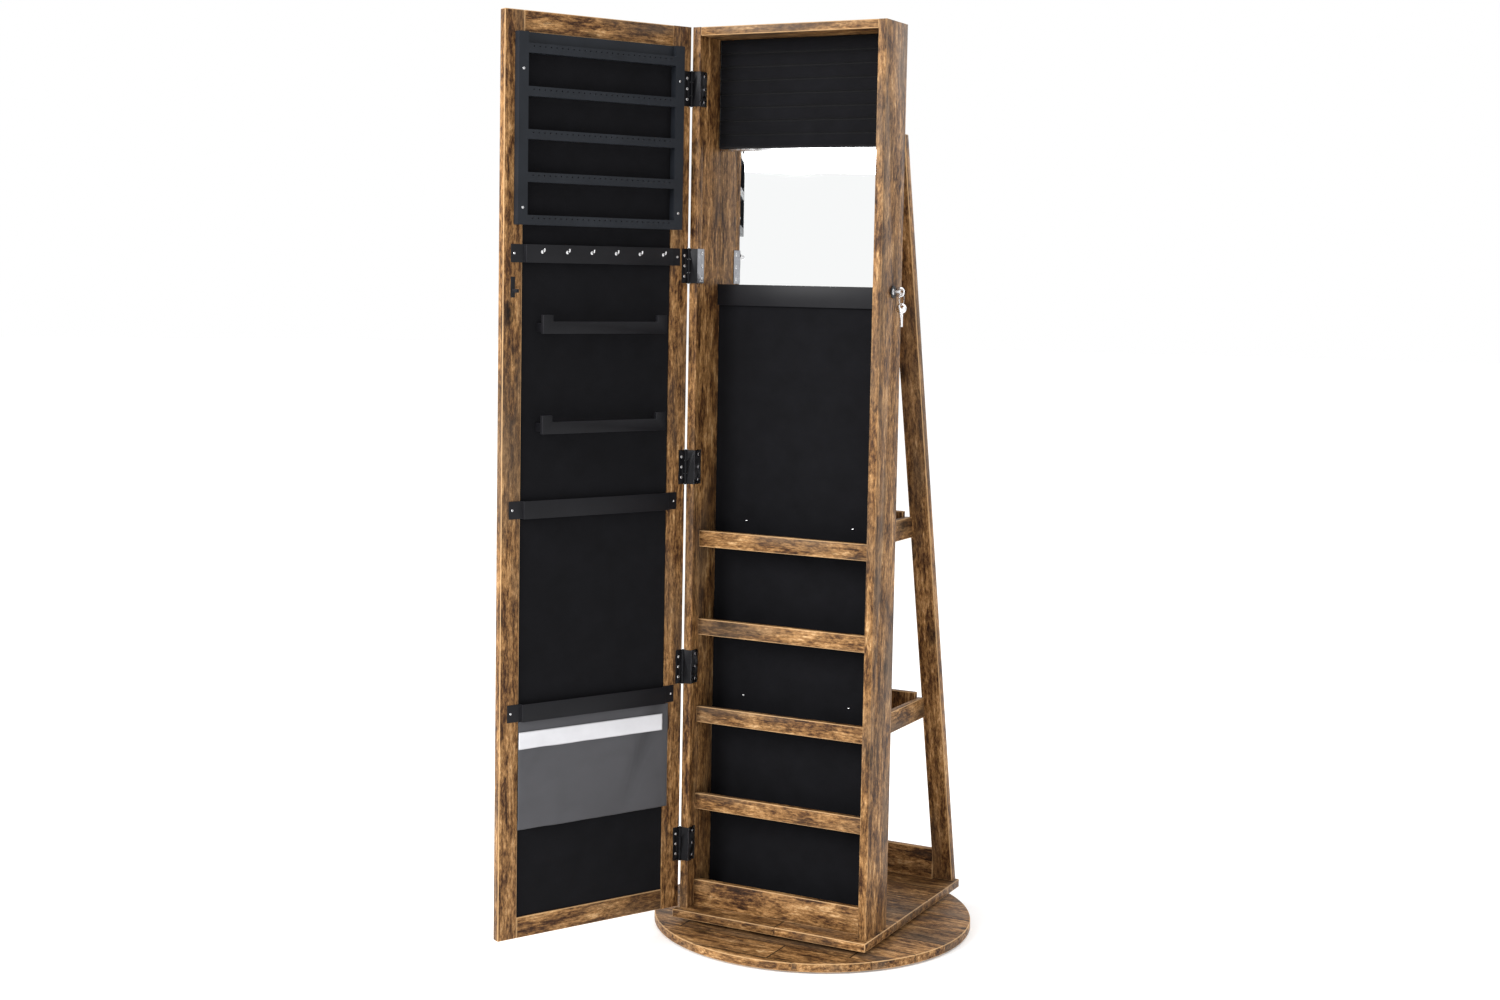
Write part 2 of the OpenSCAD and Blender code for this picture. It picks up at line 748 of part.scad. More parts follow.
module bracelet_bars() {
    color(black_metal) on_door() for (z = [bracelet_high_z, bracelet_low_z]) bracelet_bar(z);
}

// Pouch: hangs by a narrower tongue behind the lower bar
module pouch() {
    clear = 0.4;
    tongue_x = pin_out + stile_w + 4 + bar_t;
    tongue_w = bar_w + bar_left + bar_tab - 2 * stile_w - 8 - 2 * bar_t;
    color(grey_film) on_door() {
        box(pin_out + pouch_margin, door_in_y + clear, lower_bar_z + bar_t - pouch_h,
            cabinet_w - 2 * pouch_margin - 6, pouch_t - clear, pouch_h - bar_t - clear);
        box(tongue_x, door_in_y + clear, lower_bar_z - 5, tongue_w, pouch_t - clear, 5 + bar_h * 0.6);
    }
}

module pouch_band() {
    color("#f2f2f2") on_door() box(pin_out + pouch_margin + 13, door_in_y + pouch_t,
        lower_bar_z - 18 - band_h, cabinet_w - 2 * pouch_margin - 19, film_t, band_h);
}

module door_hinge_leaves() {
    color(black_metal) on_door() for (z = hinge_zs) difference() {
        union() {
            knuckles(z, true);
            difference() {
                box(pin_out, door_in_y, z - hinge_h / 2, door_leaf_w, leaf_t, hinge_h);
                knuckle_round(z);
            }
        }
        translate([0, 0, z - hinge_h]) cylinder(h = 2 * hinge_h, r = hinge_pin_r + run_fit, $fn = medium);
        door_screw_shafts();
    }
}

module door_screw_shafts() {
    for (z = hinge_zs, f = door_screw_places)
        translate([pin_out + door_leaf_w * 0.55, door_in_y + leaf_t, z + (f - 0.5) * hinge_h])
            rotate([90, 0, 0]) cylinder(h = screw_l, r = screw_r, $fn = small);
}

module door_screws() {
    color(steel) on_door() {
        door_screw_shafts();
        for (z = hinge_zs, f = door_screw_places)
            translate([pin_out + door_leaf_w * 0.55, door_in_y + leaf_t, z + (f - 0.5) * hinge_h])
                rotate([-90, 0, 0]) cylinder(h = 0.25, r = 1.5 * screw_r, $fn = small);
        for (z = [hook_bar_z, middle_bar_z, lower_bar_z], x = [bar_left + 6, cabinet_w - bar_tab - 6])
            translate([pin_out + x, door_in_y + bar_t, z + bar_h / 2]) rotate([-90, 0, 0])
                cylinder(h = 0.8, r = 2, $fn = small);
        for (z = [rack_z + strip_h + 12, rack_top - 60], x = [rack_margin, rack_margin + rack_w - rack_side_w])
            translate([pin_out + x + rack_side_w / 2, door_in_y + rack_depth, z]) rotate([-90, 0, 0])
                cylinder(h = 0.8, r = 2.2, $fn = small);
    }
}

// Strike: a plate on the free stile with a bent prong, behind which the tooth of the cam drops
module lock_strike() {
    plate_h = 34;
    plate_w = 8;
    prong_t = 2;
    bar_d = 2.5;
    cam_at = cam_x - pin_x;
    // The tooth of the closed lock stands half a millimetre in front of the prong's bar
    bar_at = front_y + lock_y - cam_l + tooth_w + 0.5 - pin_y;
    color(black_metal) on_door() {
        box(cam_at - 1, door_in_y, lock_z - plate_h / 2 - 3, plate_w, 1.2, plate_h);
        box(cam_at + cam_t + 0.5, door_in_y, lock_z - 12, prong_t, bar_at + bar_d - door_in_y, 6);
        box(cam_at - 1, bar_at, lock_z - 12, cam_t + 2, bar_d, 6);
    }
}

base_disc();
foot_pads();
bearing_lower_plate();
bearing_lower_screws();
ball_cage();
bearing_balls();
bearing_upper_plate();
platform();
left_board();
right_board();
top_board();
bottom_board();
bottom_rail();
back_panel();
velvet_lining();
ring_cushion();
inner_mirror();
mirror_trim();
necklace_bar();
shelf(3);  // shelf_1
shelf(2);  // shelf_2
shelf(1);  // shelf_3
shelf(0);  // shelf_4
shelf_lip(3);  // shelf_lip_1
shelf_lip(2);  // shelf_lip_2
shelf_lip(1);  // shelf_lip_3
shelf_lip(0);  // shelf_lip_4
rear_leg(-1);  // rear_leg_left
rear_leg(1);  // rear_leg_right
rear_shelf(rear_high_z);  // rear_shelf_upper
rear_shelf(rear_low_z);  // rear_shelf_lower
side_fences(rear_high_z);  // upper_side_fences
side_fences(rear_low_z);  // lower_side_fences
rear_shelf_rails();
rear_foot_rail();
cabinet_hinge_leaves();
hinge_pins();
cabinet_screws();
lock_barrel();
lock_plug();
lock_cam();
key();
key_ring();
spare_key();
door_stile_hinge();
door_stile_free();
door_rail(total_h - door_rail_h);  // door_rail_top
door_rail(door_low);  // door_rail_bottom
door_mirror();
door_panel();
earring_rack();
hook_bar();
bar_hooks();
bracelet_bars();
plain_bars();
pouch();
pouch_band();
door_hinge_leaves();
door_screws();
lock_strike();
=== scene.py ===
"""Looks of the standing jewelry armoire: eased boards, cushion, pouch, hooks, screws, finishes and stage."""

import json
import math

import bmesh
import bpy
import numpy as np
from bpy.props import FloatProperty, FloatVectorProperty, IntProperty, PointerProperty
from mathutils import Matrix, Vector, noise


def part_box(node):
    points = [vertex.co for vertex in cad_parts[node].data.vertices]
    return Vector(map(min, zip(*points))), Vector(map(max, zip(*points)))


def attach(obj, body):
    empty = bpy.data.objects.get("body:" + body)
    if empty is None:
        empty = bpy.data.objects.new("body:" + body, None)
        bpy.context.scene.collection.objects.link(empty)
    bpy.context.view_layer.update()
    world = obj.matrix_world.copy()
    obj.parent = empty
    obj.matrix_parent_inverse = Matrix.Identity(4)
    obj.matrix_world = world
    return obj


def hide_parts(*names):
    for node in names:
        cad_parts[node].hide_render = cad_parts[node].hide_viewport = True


bl_info = {
    "name": "Jewelry Armoire",
    "version": (1, 0, 0),
    "blender": (4, 5, 0),
    "location": "3D View > Sidebar > Armoire",
    "description": "Dresses the packed frame of a standing jewelry armoire with its finishes and soft pieces",
    "category": "Object",
}

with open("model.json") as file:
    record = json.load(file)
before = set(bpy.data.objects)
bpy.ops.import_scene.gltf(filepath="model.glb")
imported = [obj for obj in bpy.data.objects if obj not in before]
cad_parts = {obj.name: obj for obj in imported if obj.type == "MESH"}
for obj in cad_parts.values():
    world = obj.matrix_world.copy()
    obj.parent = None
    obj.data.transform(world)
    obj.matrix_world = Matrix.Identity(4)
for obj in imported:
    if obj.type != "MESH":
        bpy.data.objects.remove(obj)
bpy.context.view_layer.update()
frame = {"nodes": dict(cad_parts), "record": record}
RECORD = frame["record"]
NODES = frame["nodes"]
BODY_OF = {node: body for body, nodes in RECORD["behaviour"]["bodies"].items() for node in nodes}
SLOT_OF = {part["node"]: part["material_slot"] for part in RECORD["subparts"]}
JOINTS = {joint["name"]: joint for joint in RECORD["behaviour"]["joints"]}
HINGE_LINE = Vector(JOINTS["door_swing"]["pos_m"]) * Vector((1, 1, 0))
DOOR_OPEN = math.radians(-JOINTS["door_swing"]["range_deg"][0])
# Takes a point of the closed door, measured from the hinge line, to its place on the open door
ON_DOOR = Matrix.Translation(HINGE_LINE) @ Matrix.Rotation(-DOOR_OPEN, 4, "Z")
OFF_DOOR = ON_DOOR.inverted()
WORLD = Matrix.Identity(4)


def linear(code):
    """Linear colour of a six-digit sRGB code."""
    parts = [int(code[i : i + 2], 16) / 255 for i in (0, 2, 4)]
    return [p / 12.92 if p <= 0.04045 else ((p + 0.055) / 1.055) ** 2.4 for p in parts]


def colour_prop(label, description, code):
    return FloatVectorProperty(
        name=label, description=description, default=linear(code), subtype="COLOR", size=3, min=0, max=1
    )


def length_prop(label, description, default):
    return FloatProperty(name=label, description=description, default=default, unit="LENGTH", min=0)


class ArmoireSizes(bpy.types.PropertyGroup):
    """Sizes of the details that the frame doesn't hold."""

    board_ease: length_prop("Board edge", "Rounding along the edges of the wooden boards", 0.0014)
    metal_ease: length_prop("Metal edge", "Rounding along the edges of metal pieces", 0.0003)
    pad_ease: length_prop("Pad edge", "Rounding along the edges of the foot pads", 0.0006)
    plank: length_prop("Plank width", "Width of the planks printed on the base and the platform", 0.072)
    roll_puff: length_prop("Roll puff", "Unevenness of the rolls in the ring cushion", 0.0007)
    pouch_bulge: length_prop("Pouch bulge", "How far the pouch stands away from the door", 0.0024)
    cloth: length_prop("Cloth thickness", "Thickness of the pouch cloth", 0.0005)
    cushion_rolls: IntProperty(name="Rolls", description="Number of rolls in the cushion", default=8, min=2)


class ArmoireColours(bpy.types.PropertyGroup):
    """Colours of the finishes."""

    wood_deep: colour_prop("Deep grain", "Darkest streaks of the wood", "20130a")
    wood_dark: colour_prop("Dark grain", "Dark brown of the wood", "482d19")
    wood_mid: colour_prop("Middle grain", "Main brown of the wood", "7d5934")
    wood_light: colour_prop("Light grain", "Tan of the wood", "a67c4e")
    wood_pale: colour_prop("Pale grain", "Palest worn streaks of the wood", "d3ab7b")
    wood_grey: colour_prop("Grey wash", "Grey-brown wash over parts of the wood", "55473a")
    velvet: colour_prop("Velvet", "Pile of the lining", "0e0e11")
    charcoal: colour_prop("Charcoal", "Paint of the earring rack", "202328")
    black: colour_prop("Black", "Paint of the bars and hinges", "17171a")
    film: colour_prop("Pouch", "Grey cloth of the pouch", "47474b")
    tape: colour_prop("Tape", "White band of the pouch", "dcdce0")


def sizes():
    return bpy.context.scene.armoire_sizes


def colours():
    return bpy.context.scene.armoire_colours


# ---- Node helpers ----


def add(tree, kind, inputs=None, **settings):
    """Adds a node; inputs maps socket names or numbers to values or to sockets to link."""
    made = tree.nodes.new(kind)
    for key, value in settings.items():
        setattr(made, key, value)
    for key, value in (inputs or {}).items():
        if isinstance(value, bpy.types.NodeSocket):
            tree.links.new(value, made.inputs[key])
        else:
            made.inputs[key].default_value = value
    return made


def blank(name, **surface):
    """A new material with a single Principled shader; surface sets that shader's sockets."""
    material = bpy.data.materials.new(name)
    material.use_nodes = True
    tree = material.node_tree
    shader = tree.nodes["Principled BSDF"]
    for key, value in surface.items():
        shader.inputs[key.replace("_", " ").title().replace("Ior", "IOR")].default_value = value
    return material, tree, shader


def stretch(tree, vector, along, across, deep=None):
    """Repeats of the pattern per metre along the grain, across it and through it."""
    scale = (along, across, across if deep is None else deep)
    return add(tree, "ShaderNodeMapping", {"Vector": vector, "Scale": scale}).outputs[0]


def clouds(tree, vector, detail=4.0, roughness=0.55, distortion=0.0):
    made = add(
        tree,
        "ShaderNodeTexNoise",
        {"Vector": vector, "Scale": 1.0, "Detail": detail, "Roughness": roughness, "Distortion": distortion},
    )
    return made.outputs[0]


def ramp(tree, factor, stops):
    """Colours along a factor; stops is a list of (place, colour)."""
    made = add(tree, "ShaderNodeValToRGB", {0: factor})
    band = made.color_ramp
    while len(band.elements) < len(stops):
        band.elements.new(0.5)
    for element, (place, colour) in zip(band.elements, stops):
        element.position = place
        element.color = (*colour, 1)
    return made.outputs[0]


def grey(value):
    return (value, value, value)


def mix(tree, factor, first, second, blend="MIX"):
    made = add(tree, "ShaderNodeMix", {0: factor, 6: first, 7: second}, data_type="RGBA", blend_type=blend)
    return made.outputs[2]


def sums(tree, operation, first, second, clamp=False):
    return add(tree, "ShaderNodeMath", {0: first, 1: second}, operation=operation, use_clamp=clamp).outputs[0]


def shifted(tree, vector, amount, reach):
    """The vector moved by an amount between 0 and 1 of the reach on each axis."""
    move = add(tree, "ShaderNodeVectorMath", {0: amount, 1: reach}, operation="MULTIPLY").outputs[0]
    return add(tree, "ShaderNodeVectorMath", {0: vector, 1: move}, operation="ADD").outputs[0]


def bump(tree, shader, height, strength, distance):
    made = add(tree, "ShaderNodeBump", {"Height": height, "Strength": strength, "Distance": distance})
    tree.links.new(made.outputs[0], shader.inputs["Normal"])


def rgba(colour):
    return (*colour, 1.0)


def mesh_values(tree, name):
    return add(tree, "ShaderNodeAttribute", attribute_name=name)


# ---- Materials ----

# How far the pattern moves from one plank to the next, and how far the grain wanders, in metres
PLANK_SHIFT = (3.1, 1.7, 0.9)
GRAIN_BEND = (0.02, 0.006, 0.006)


def wood(name, planks=False):
    """Printed rustic wood: mottled tan and brown with fine grain, cracks, knots, and pale rounded edges that
    are partly wear and partly a painted highlight.
    """
    palette = colours()
    material, tree, shader = blank(name, roughness=0.5, specular_ior_level=0.16)
    grain = mesh_values(tree, "grain").outputs["Vector"]
    seams = None
    if planks:
        width = sizes().plank
        bricks = add(
            tree,
            "ShaderNodeTexBrick",
            {
                "Vector": grain,
                "Color1": rgba(grey(0.0)),
                "Color2": rgba(grey(1.0)),
                "Mortar": rgba(grey(0.5)),
                "Scale": 1.0,
                "Mortar Size": 0.0018,
                "Mortar Smooth": 0.4,
                "Brick Width": width * 4.6,
                "Row Height": width,
            },
            offset=0.37,
        )
        seams = bricks.outputs["Fac"]
        grain = shifted(tree, grain, bricks.outputs["Color"], PLANK_SHIFT)
    slow = stretch(tree, grain, 5, 16)
    warp = add(tree, "ShaderNodeTexNoise", {"Vector": slow, "Scale": 1.0, "Detail": 2.0})
    grain = shifted(tree, grain, warp.outputs["Color"], GRAIN_BEND)
    broad = clouds(tree, stretch(tree, grain, 15, 52), 6, 0.68, 0.5)
    streaks = clouds(tree, stretch(tree, grain, 11, 210), 5, 0.66, 0.3)
    fine = clouds(tree, stretch(tree, grain, 80, 900), 4, 0.7)
    blotch = clouds(tree, stretch(tree, grain, 90, 230), 5, 0.75)
    tone = sums(tree, "ADD", sums(tree, "MULTIPLY", broad, 0.42), sums(tree, "MULTIPLY", streaks, 0.24))
    tone = sums(tree, "ADD", tone, sums(tree, "MULTIPLY", blotch, 0.34))
    colour = ramp(
        tree,
        tone,
        [
            (0.385, palette.wood_deep),
            (0.445, palette.wood_dark),
            (0.5, palette.wood_mid),
            (0.555, palette.wood_light),
            (0.62, palette.wood_pale),
        ],
    )
    wash = ramp(tree, clouds(tree, stretch(tree, grain, 3.5, 15), 3), [(0.5, grey(0)), (0.66, grey(0.6))])
    colour = mix(tree, wash, colour, rgba(palette.wood_grey))
    lines = ramp(tree, fine, [(0.36, grey(0.38)), (0.5, grey(1.0)), (0.68, grey(1.3))])
    colour = mix(tree, 0.8, colour, lines, "MULTIPLY")
    knots = add(
        tree,
        "ShaderNodeTexVoronoi",
        {"Vector": stretch(tree, grain, 8, 17), "Scale": 1.0, "Randomness": 1.0},
        distance="EUCLIDEAN",
    ).outputs["Distance"]
    spots = ramp(tree, knots, [(0.05, grey(0.12)), (0.1, grey(0.55)), (0.13, grey(0.35)), (0.2, grey(1.0))])
    colour = mix(tree, 0.85, colour, spots, "MULTIPLY")
    cracks = clouds(tree, stretch(tree, grain, 9, 85), 6, 0.66, 0.6)
    thin = [(0.487, grey(1.0)), (0.497, grey(0.3)), (0.503, grey(0.3)), (0.513, grey(1.0))]
    where = ramp(tree, clouds(tree, stretch(tree, grain, 6, 24), 2), [(0.48, grey(0)), (0.58, grey(0.8))])
    colour = mix(tree, where, colour, mix(tree, 1.0, colour, ramp(tree, cracks, thin), "MULTIPLY"))
    # Rounded edges are mixed towards the pale tan: partly wear, partly a painted highlight along the edges.
    wear_and_painted_light = mesh_values(tree, "wear_and_painted_light").outputs["Fac"]
    colour = mix(tree, sums(tree, "MULTIPLY", wear_and_painted_light, 0.6), colour, rgba(palette.wood_pale))
    height = sums(tree, "ADD", sums(tree, "MULTIPLY", fine, 0.5), sums(tree, "MULTIPLY", tone, 0.5))
    if seams is not None:
        seams = sums(tree, "MULTIPLY", seams, mesh_values(tree, "upward").outputs["Fac"])
        tones = ramp(tree, bricks.outputs["Color"], [(0.0, grey(0.72)), (0.5, grey(0.95)), (1.0, grey(1.2))])
        colour = mix(tree, 1.0, colour, tones, "MULTIPLY")
        groove = rgba([c * 0.5 for c in palette.wood_deep])
        colour = mix(tree, sums(tree, "MULTIPLY", seams, 0.9), colour, groove)
    tree.links.new(colour, shader.inputs["Base Color"])
    tree.links.new(ramp(tree, streaks, [(0.3, grey(0.58)), (0.7, grey(0.4))]), shader.inputs["Roughness"])
    bump(tree, shader, height, 0.35, 0.0006)
    return material


def velvet(name):
    """Short black pile with a little sheen and uneven nap."""
    material, tree, shader = blank(name, roughness=0.95, specular_ior_level=0.12)
    shader.inputs["Sheen Weight"].default_value = 0.08
    shader.inputs["Sheen Roughness"].default_value = 0.45
    place = add(tree, "ShaderNodeTexCoord").outputs["Object"]
    nap = clouds(tree, stretch(tree, place, 24, 24), 5, 0.6)
    pile = clouds(tree, stretch(tree, place, 2600, 2600), 2)
    base = Vector(colours().velvet)
    tree.links.new(
        ramp(tree, nap, [(0.3, list(base * 0.82)), (0.7, list(base * 1.25))]), shader.inputs["Base Color"]
    )
    bump(tree, shader, pile, 0.5, 0.0003)
    return material


def paint(name, colour, roughness, metallic=0.0):
    """Powder paint with a faint orange peel and a painted highlight along its rounded edges."""
    material, tree, shader = blank(name, roughness=roughness, metallic=metallic, specular_ior_level=0.16)
    place = add(tree, "ShaderNodeTexCoord").outputs["Object"]
    peel = clouds(tree, stretch(tree, place, 900, 900), 2)
    cloud = clouds(tree, stretch(tree, place, 14, 14), 3)
    base = Vector(colour)
    shade = ramp(tree, cloud, [(0.3, list(base * 0.86)), (0.7, list(base * 1.16))])
    # Painted highlight: the rounded edges are lightened as if catching the light.
    wear_and_painted_light = mesh_values(tree, "wear_and_painted_light").outputs["Fac"]
    shade = mix(tree, sums(tree, "MULTIPLY", wear_and_painted_light, 0.5), shade, rgba(base * 2.6))
    tree.links.new(shade, shader.inputs["Base Color"])
    bump(tree, shader, peel, 0.25, 0.0002)
    return material


def plated(name, colour, roughness, anisotropic=0.0):
    """Bright plated steel with faint brushing and finger marks."""
    material, tree, shader = blank(name, roughness=roughness, metallic=1.0, base_color=rgba(colour))
    shader.inputs["Anisotropic"].default_value = anisotropic
    place = add(tree, "ShaderNodeTexCoord").outputs["Object"]
    brush = clouds(tree, stretch(tree, place, 120, 120, 2200), 3)
    smear = clouds(tree, stretch(tree, place, 60, 60), 4)
    tree.links.new(
        ramp(tree, smear, [(0.35, grey(roughness * 0.7)), (0.7, grey(roughness * 1.5))]),
        shader.inputs["Roughness"],
    )
    bump(tree, shader, brush, 0.12, 0.0001)
    return material


def silvered(name):
    """Mirror glass with a very faint haze."""
    material, tree, shader = blank(name, roughness=0.02, metallic=1.0, base_color=(0.93, 0.94, 0.94, 1))
    place = add(tree, "ShaderNodeTexCoord").outputs["Object"]
    haze = clouds(tree, stretch(tree, place, 8, 8), 4)
    tree.links.new(ramp(tree, haze, [(0.45, grey(0.004)), (0.8, grey(0.03))]), shader.inputs["Roughness"])
    return material


def woven(name, colour, threads, roughness, sheen):
    """Plain weave seen close up, from the strip coordinates of the piece."""
    material, tree, shader = blank(name, roughness=roughness)
    shader.inputs["Sheen Weight"].default_value = sheen
    place = mesh_values(tree, "grain").outputs["Vector"]
    waves = [
        add(
            tree,
            "ShaderNodeTexWave",
            {"Vector": place, "Scale": threads, "Distortion": 0.4, "Detail": 1.0},
            bands_direction=axis,
        ).outputs["Fac"]
        for axis in ("X", "Y")
    ]
    weave = sums(tree, "MULTIPLY", waves[0], waves[1])
    cloud = clouds(tree, stretch(tree, place, 12, 18), 4)
    base = Vector(colour)
    shade = ramp(tree, cloud, [(0.3, list(base * 0.9)), (0.7, list(base * 1.08))])
    shade = mix(tree, 0.25, shade, ramp(tree, weave, [(0.0, grey(0.75)), (0.6, grey(1.05))]), "MULTIPLY")
    # Darkens the cloth: painted shade along the fold, and darker along the top and bottom rows.
    shadow = mesh_values(tree, "wear_and_painted_light").outputs["Fac"]
    shade = mix(tree, shadow, shade, rgba(base * 0.35))
    tree.links.new(shade, shader.inputs["Base Color"])
    bump(tree, shader, weave, 0.3, 0.0002)
    return material


def plain(name, colour, roughness):
    """Moulded plastic with a fine grain."""
    material, tree, shader = blank(name, roughness=roughness)
    place = add(tree, "ShaderNodeTexCoord").outputs["Object"]
    speck = clouds(tree, stretch(tree, place, 700, 700), 3)
    base = Vector(colour)
    tree.links.new(
        ramp(tree, speck, [(0.3, list(base * 0.85)), (0.7, list(base * 1.15))]), shader.inputs["Base Color"]
    )
    bump(tree, shader, speck, 0.2, 0.0002)
    return material


FINISHES = {}


def finish_of(node):
    return FINISHES[SLOT_OF[node]]


# ---- Mesh helpers ----

SAME_POINT = 1e-6
FLAT_WITHIN = math.radians(0.5)
SHARP_FROM = math.radians(40)
UPWARD_FROM = 0.7


def mesh_object(name, builder, materials, smooth=None):
    """Makes an object from a bmesh; smooth is the angle in degrees up to which edges shade smoothly."""
    mesh = bpy.data.meshes.new(name)
    builder.normal_update()
    builder.to_mesh(mesh)
    builder.free()
    for material in materials:
        mesh.materials.append(material)
    made = bpy.data.objects.new(name, mesh)
    bpy.context.scene.collection.objects.link(made)
    if smooth is not None:
        mesh.shade_smooth()
        mesh.set_sharp_from_angle(angle=math.radians(smooth))
    return made


def stand_for(made, *nodes):
    """The piece replaces CAD nodes and rides on their body."""
    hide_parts(*nodes)
    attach(made, BODY_OF[nodes[0]])
    return made


def grain_of(made, into, along, seed):
    """Stores where each vertex lies in its own board: along the grain, across it and through it."""
    noise.seed_set(seed)
    offset = noise.random_unit_vector() * 7.0
    order = [along] + [axis for axis in range(3) if axis != along]
    values = made.data.attributes.new("grain", "FLOAT_VECTOR", "POINT")
    for vertex, item in zip(made.data.vertices, values.data):
        place = into @ vertex.co
        item.vector = Vector([place[axis] for axis in order]) + offset
    return made


def softened(node, width):
    """A bmesh copy of a CAD node with its sharp edges rounded; the rounded faces are marked for the pale wear
    and the painted edge highlight of the finishes.
    """
    builder = bmesh.new()
    builder.from_mesh(NODES[node].data)
    bmesh.ops.remove_doubles(builder, verts=builder.verts, dist=SAME_POINT)
    bmesh.ops.dissolve_limit(
        builder,
        angle_limit=FLAT_WITHIN,
        verts=builder.verts,
        edges=builder.edges,
        use_dissolve_boundaries=False,
    )
    # The mark pales the rounded faces in the finishes: on wood partly wear and partly a painted edge
    # highlight, on paint a painted edge highlight.
    mark = builder.faces.layers.float.new("wear_and_painted_light")
    builder.faces.layers.float.new("upward")
    sharp = [e for e in builder.edges if len(e.link_faces) == 2 and e.calc_face_angle(0) > SHARP_FROM]
    if sharp:
        done = bmesh.ops.bevel(
            builder,
            geom=sharp,
            offset=width,
            offset_type="OFFSET",
            segments=2,
            profile=0.5,
            affect="EDGES",
            clamp_overlap=True,
        )
        for face in done["faces"]:
            face[mark] = 1.0
    return builder


def long_axis(points):
    return int(np.argmax(points.max(0) - points.min(0)))


def points_of(node, into):
    return np.array([into @ v.co for v in NODES[node].data.vertices])


def into_of(node):
    return OFF_DOOR if BODY_OF[node] == "door" else WORLD


def closed_box(node):
    """Corners of a node in its own frame: the closed door's for its nodes, the world's for the rest."""
    points = points_of(node, into_of(node))
    return Vector(points.min(0)), Vector(points.max(0))


def eased(node, width, material=None, along=None, into=None, seed=1, smooth=45):
    """A piece in place of a CAD node, with rounded edges and its own grain."""
    made = mesh_object(f"{node}_eased", softened(node, width), [material or finish_of(node)], smooth)
    upward = made.data.attributes["upward"].data
    for face in made.data.polygons:
        upward[face.index].value = 1.0 if face.normal.z > UPWARD_FROM else 0.0
    into = into or into_of(node)
    if along is None:
        along = long_axis(points_of(node, into))
    grain_of(made, into, along, seed)
    return stand_for(made, node)


def joined(builder, rings):
    """Adds the faces between rings of as many vertices each, and closes both ends."""
    for one, two in zip(rings, rings[1:]):
        for k in range(len(one)):
            after = (k + 1) % len(one)
            builder.faces.new((one[k], one[after], two[after], two[k]))
    builder.faces.new(rings[0][::-1])
    builder.faces.new(rings[-1])


def tube(builder, path, radius, sides):
    """Adds a round tube along a path of points."""
    rings = []
    up = Vector((0, 0, 1))
    for i, point in enumerate(path):
        run = (path[min(i + 1, len(path) - 1)] - path[max(i - 1, 0)]).normalized()
        side = run.cross(up)
        if side.length < 0.05:
            side = run.cross(Vector((0, 1, 0)))
        side.normalize()
        lift = side.cross(run).normalized()
        rings.append(
            [
                builder.verts.new(
                    point
                    + side * radius * math.cos(2 * math.pi * k / sides)
                    + lift * radius * math.sin(2 * math.pi * k / sides)
                )
                for k in range(sides)
            ]
        )
    joined(builder, rings)


def turned(builder, profile, place, sides):
    """Adds a solid turned about its local Z; profile is a list of (radius, height) from low to high."""
    rings = []
    for radius, height in profile:
        circle = [2 * math.pi * k / sides for k in range(sides)]
        points = [Vector((radius * math.cos(angle), radius * math.sin(angle), height)) for angle in circle]
        rings.append([builder.verts.new(place @ point) for point in points])
    joined(builder, rings)


def facing(point, normal):
    """Matrix that puts local Z along normal at point."""
    return Matrix.Translation(point) @ normal.to_track_quat("Z", "Y").to_matrix().to_4x4()


def solids_of(node):
    """Points of each separate solid of a CAD node."""
    builder = bmesh.new()
    builder.from_mesh(NODES[node].data)
    bmesh.ops.remove_doubles(builder, verts=builder.verts, dist=SAME_POINT)
    seen, found = set(), []
    for start in builder.verts:
        if start in seen:
            continue
        stack, group = [start], []
        seen.add(start)
        while stack:
            vertex = stack.pop()
            group.append(vertex.co.copy())
            for edge in vertex.link_edges:
                other = edge.other_vert(vertex)
                if other not in seen:
                    seen.add(other)
                    stack.append(other)
        found.append(group)
    builder.free()
    return found


def screw_head(builder, place, radius, height):
    """Adds a domed head with a dark cross on it, painted shade in place of a cross recess; place has local Z
    out of the surface.
    """
    turned(
        builder,
        [
            (radius, 0.0),
            (radius, height * 0.35),
            (radius * 0.86, height * 0.8),
            (radius * 0.5, height),
        ],
        place,
        20,
    )
    # The cross is a thin near-black slab on top of the dome: painted shade standing in for the cross recess.
    arm, half = radius * 0.5, radius * 0.11
    for turn in (0, math.pi / 2):
        corner = place @ Matrix.Rotation(turn, 4, "Z") @ Matrix.Translation((0, 0, height * 0.98))
        outline = ((-arm, -half, 0), (arm, -half, 0), (arm, half, 0), (-arm, half, 0))
        ring = [corner @ Vector(p) for p in outline]
        top = [builder.verts.new(p + (corner.to_3x3() @ Vector((0, 0, height * 0.06)))) for p in ring]
        low = [builder.verts.new(p) for p in ring]
        faces = [builder.faces.new(top), builder.faces.new(low[::-1])]
        for k in range(4):
            faces.append(builder.faces.new((low[k], low[(k + 1) % 4], top[(k + 1) % 4], top[k])))
        for face in faces:
            face.material_index = 1


# ---- Operators ----


class ArmoireStep(bpy.types.Operator):
    """Shared base of the steps."""

    bl_options = {"REGISTER", "UNDO"}

    def execute(self, context):
        self.build()
        return {"FINISHED"}


